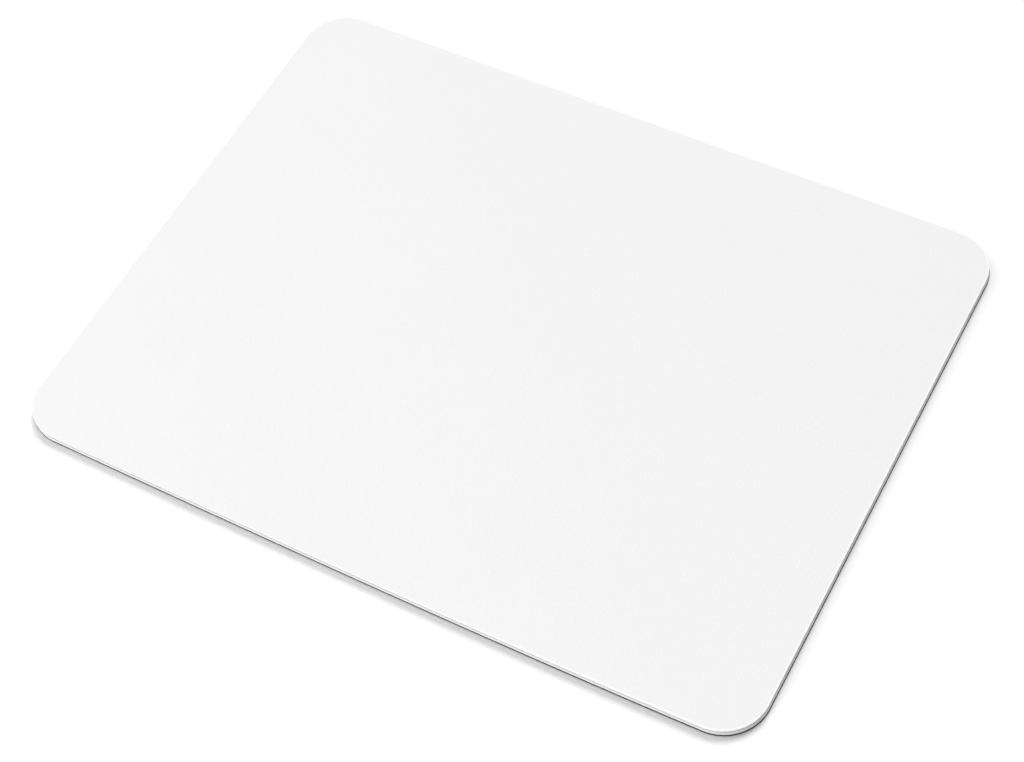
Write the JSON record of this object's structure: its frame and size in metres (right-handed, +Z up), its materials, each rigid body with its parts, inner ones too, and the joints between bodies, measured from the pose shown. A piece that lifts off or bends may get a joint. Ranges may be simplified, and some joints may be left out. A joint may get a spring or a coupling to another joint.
{
  "type": "mouse pad",
  "caption": "Flat rectangular mouse pad with rounded corners: a smooth white top sheet laminated on a pale foam core and a dark non-slip rubber base.",
  "frame": {"origin": "middle of the underside, where the pad lies on the desk", "axes": "+X along the long side, to the user's right; +Y along the short side, away from the user; +Z up, out of the working surface"},
  "size_m": [0.26, 0.2, 0.003],
  "materials": {
    "white_skin": "smooth matt white polyurethane film with a very fine pebble grain",
    "grey_cloth": "grey knitted backing cloth, seen at the cut edge",
    "glue_film": "milky hot-melt adhesive film",
    "white_foam": "fine-celled white foam, cut edge",
    "grip_rubber": "dark grey non-slip rubber with an embossed underside"
  },
  "bodies": {
    "root": {"grip_base": "grip_rubber", "lower_glue_film": "glue_film", "foam_core": "white_foam", "upper_glue_film": "glue_film", "backing_cloth": "grey_cloth", "surface_skin": "white_skin"}
  },
  "joints": []
}
